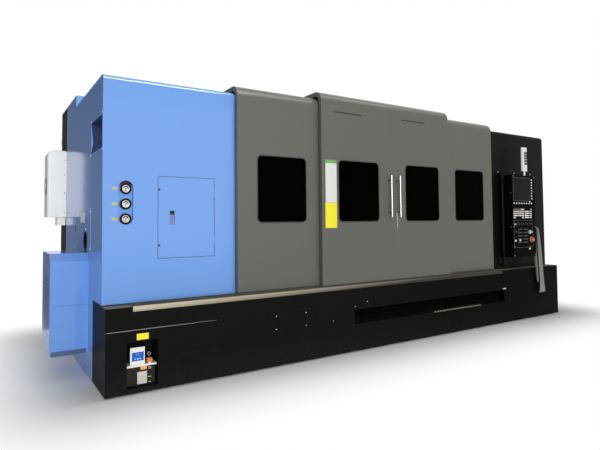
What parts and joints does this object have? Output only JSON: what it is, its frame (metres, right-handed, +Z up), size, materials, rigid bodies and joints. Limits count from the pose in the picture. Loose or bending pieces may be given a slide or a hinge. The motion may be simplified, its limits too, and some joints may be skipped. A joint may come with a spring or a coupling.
{
  "type": "turning center",
  "caption": "Large slant-bed turning centre with sliding hooded doors, chuck spindle, indexing turret, tailstock and a swivelling operator pendant.",
  "frame": {"origin": "on the floor at the middle of the footprint, under the centre levelling pad", "axes": "+X along the spindle from headstock to tailstock, +Y to the back of the machine, +Z up"},
  "size_m": [7.075, 2.9206, 2.91],
  "materials": {
    "black_paint": "satin",
    "blue_paint": "satin",
    "grey_paint": "satin",
    "casting": "machined and painted",
    "steel": "ground",
    "stainless": "brushed",
    "chrome": "polished",
    "window": "tinted",
    "screen": "glossy",
    "belt": "matt",
    "white_paint": "satin",
    "dark_plastic": "matt",
    "red_plastic": "gloss",
    "light_plastic": "matt",
    "strip": "woven",
    "drab_plastic": "matt"
  },
  "bodies": {
    "machine": {"base_frame": "casting", "front_apron": "black_paint", "coolant_tank": "black_paint", "lubricator": "drab_plastic", "bed": "casting", "headstock": "casting", "spindle_bearings": "steel", "spindle_motor": "casting", "drive_belt": "belt", "motor_cover": "blue_paint", "headstock_cover": "blue_paint", "pressure_gauges": "dark_plastic", "left_end_cover": "blue_paint", "end_hatch": "blue_paint", "bulkhead": "stainless", "rear_cover": "grey_paint", "door_rail": "stainless", "top_rail": "stainless", "right_cover": "grey_paint", "right_cover_window": "window", "tail_cover": "black_paint", "right_end_cover": "black_paint", "pendant_post": "black_paint", "electrical_cabinet": "black_paint", "panel_cooler": "white_paint"},
    "spindle": {"spindle": "steel", "spindle_pulley": "casting", "chuck_cylinder": "steel", "chuck_body": "steel"},
    "jaw_1": {"chuck_jaw_1": "steel"},
    "jaw_2": {"chuck_jaw_2": "steel"},
    "jaw_3": {"chuck_jaw_3": "steel"},
    "motor_rotor": {"motor_pulley": "casting"},
    "left_cover": {"left_cover": "grey_paint", "left_cover_window": "window"},
    "left_door": {"left_door": "grey_paint", "left_door_window": "window", "left_door_handle": "chrome"},
    "right_door": {"right_door": "grey_paint", "right_door_window": "window", "right_door_handle": "chrome"},
    "access_door": {"access_door": "blue_paint"},
    "access_latch": {"access_latch": "dark_plastic"},
    "pendant": {"pendant_housing": "black_paint", "pendant_screen": "screen", "signal_lamp": "light_plastic", "hanging_strip": "strip"},
    "e_stop": {"e_stop": "red_plastic"},
    "handwheel": {"handwheel": "light_plastic"},
    "carriage": {"saddle": "casting"},
    "cross_slide": {"cross_slide": "casting", "turret_body": "casting"},
    "turret": {"turret_disc": "steel", "tool_holders": "steel"},
    "z_screw": {"z_ballscrew": "steel"},
    "tailstock": {"tailstock_body": "casting"},
    "quill": {"tailstock_quill": "steel"},
    "live_centre": {"live_centre": "steel"},
    "cabinet_door_left": {"cabinet_door_left": "black_paint"},
    "cabinet_door_right": {"cabinet_door_right": "black_paint"}
  },
  "joints": [
    {"name": "spindle_spin", "type": "hinge", "parent": "machine", "child": "spindle", "pos_m": [-3.37, -0.441, 1.289], "axis": [1, 0, 0], "continuous": true},
    {"name": "motor_spin", "type": "hinge", "parent": "machine", "child": "motor_rotor", "pos_m": [-3, -0.296, 0.65], "axis": [1, 0, 0], "continuous": true},
    {"name": "jaw_1_slide", "type": "slide", "parent": "spindle", "child": "jaw_1", "axis": [0, 0, -1], "range_m": [0, 0.012]},
    {"name": "jaw_2_slide", "type": "slide", "parent": "spindle", "child": "jaw_2", "axis": [0, 0.866, 0.5], "range_m": [0, 0.012]},
    {"name": "jaw_3_slide", "type": "slide", "parent": "spindle", "child": "jaw_3", "axis": [0, -0.866, 0.5], "range_m": [0, 0.012]},
    {"name": "left_cover_slide", "type": "slide", "parent": "machine", "child": "left_cover", "axis": [-1, 0, 0], "range_m": [0, 0.96]},
    {"name": "left_door_slide", "type": "slide", "parent": "machine", "child": "left_door", "axis": [-1, 0, 0], "range_m": [0, 1.9]},
    {"name": "right_door_slide", "type": "slide", "parent": "machine", "child": "right_door", "axis": [1, 0, 0], "range_m": [0, 0.93]},
    {"name": "access_door_hinge", "type": "hinge", "parent": "machine", "child": "access_door", "pos_m": [-2.334, -1.249, 1.516], "axis": [0, 0, -1], "range_deg": [-105, 0]},
    {"name": "access_latch_turn", "type": "hinge", "parent": "access_door", "child": "access_latch", "pos_m": [-2.7525, -1.242, 1.459], "axis": [-1, 0, 0], "range_deg": [-40, 0], "stiffness_Nm_per_rad": 0.6, "springref_deg": 20.05},
    {"name": "pendant_swivel", "type": "hinge", "parent": "machine", "child": "pendant", "pos_m": [2.16, -1.306, 1.5], "axis": [0, 0, -1], "range_deg": [0, 90]},
    {"name": "e_stop_push", "type": "slide", "parent": "pendant", "child": "e_stop", "axis": [0, 1, 0], "range_m": [0, 0.006]},
    {"name": "handwheel_turn", "type": "hinge", "parent": "pendant", "child": "handwheel", "pos_m": [2.585, -1.456, 1.283], "axis": [0, -1, 0], "continuous": true},
    {"name": "carriage_slide", "type": "slide", "parent": "machine", "child": "carriage", "axis": [1, 0, 0], "range_m": [-1.2, 0.9]},
    {"name": "cross_slide_feed", "type": "slide", "parent": "carriage", "child": "cross_slide", "axis": [0, 0.7071, 0.7071], "range_m": [-0.5, 0]},
    {"name": "turret_index", "type": "hinge", "parent": "cross_slide", "child": "turret", "pos_m": [-0.33, 0.22368, 1.95368], "axis": [1, 0, 0], "continuous": true},
    {"name": "z_screw_turn", "type": "hinge", "parent": "machine", "child": "z_screw", "pos_m": [0.43, 0.20247, 1.16879], "axis": [1, 0, 0], "continuous": true},
    {"name": "tailstock_slide", "type": "slide", "parent": "machine", "child": "tailstock", "axis": [1, 0, 0], "range_m": [-1, 0]},
    {"name": "quill_feed", "type": "slide", "parent": "tailstock", "child": "quill", "axis": [-1, 0, 0], "range_m": [0, 0.15]},
    {"name": "live_centre_spin", "type": "hinge", "parent": "quill", "child": "live_centre", "pos_m": [2, -0.441, 1.289], "axis": [1, 0, 0], "continuous": true},
    {"name": "cabinet_door_left_hinge", "type": "hinge", "parent": "machine", "child": "cabinet_door_left", "pos_m": [-3.37, 1.4043, 1.48], "axis": [0, 0, 1], "range_deg": [0, 110]},
    {"name": "cabinet_door_right_hinge", "type": "hinge", "parent": "machine", "child": "cabinet_door_right", "pos_m": [-1.17, 1.4043, 1.48], "axis": [0, 0, -1], "range_deg": [0, 110]}
  ],
  "couplings": [
    {"joint": "motor_spin", "follows": "spindle_spin", "ratio": 1.76},
    {"joint": "jaw_2_slide", "follows": "jaw_1_slide", "ratio": 1},
    {"joint": "jaw_3_slide", "follows": "jaw_1_slide", "ratio": 1},
    {"joint": "z_screw_turn", "follows": "carriage_slide", "rad_per_m": 314.16}
  ]
}
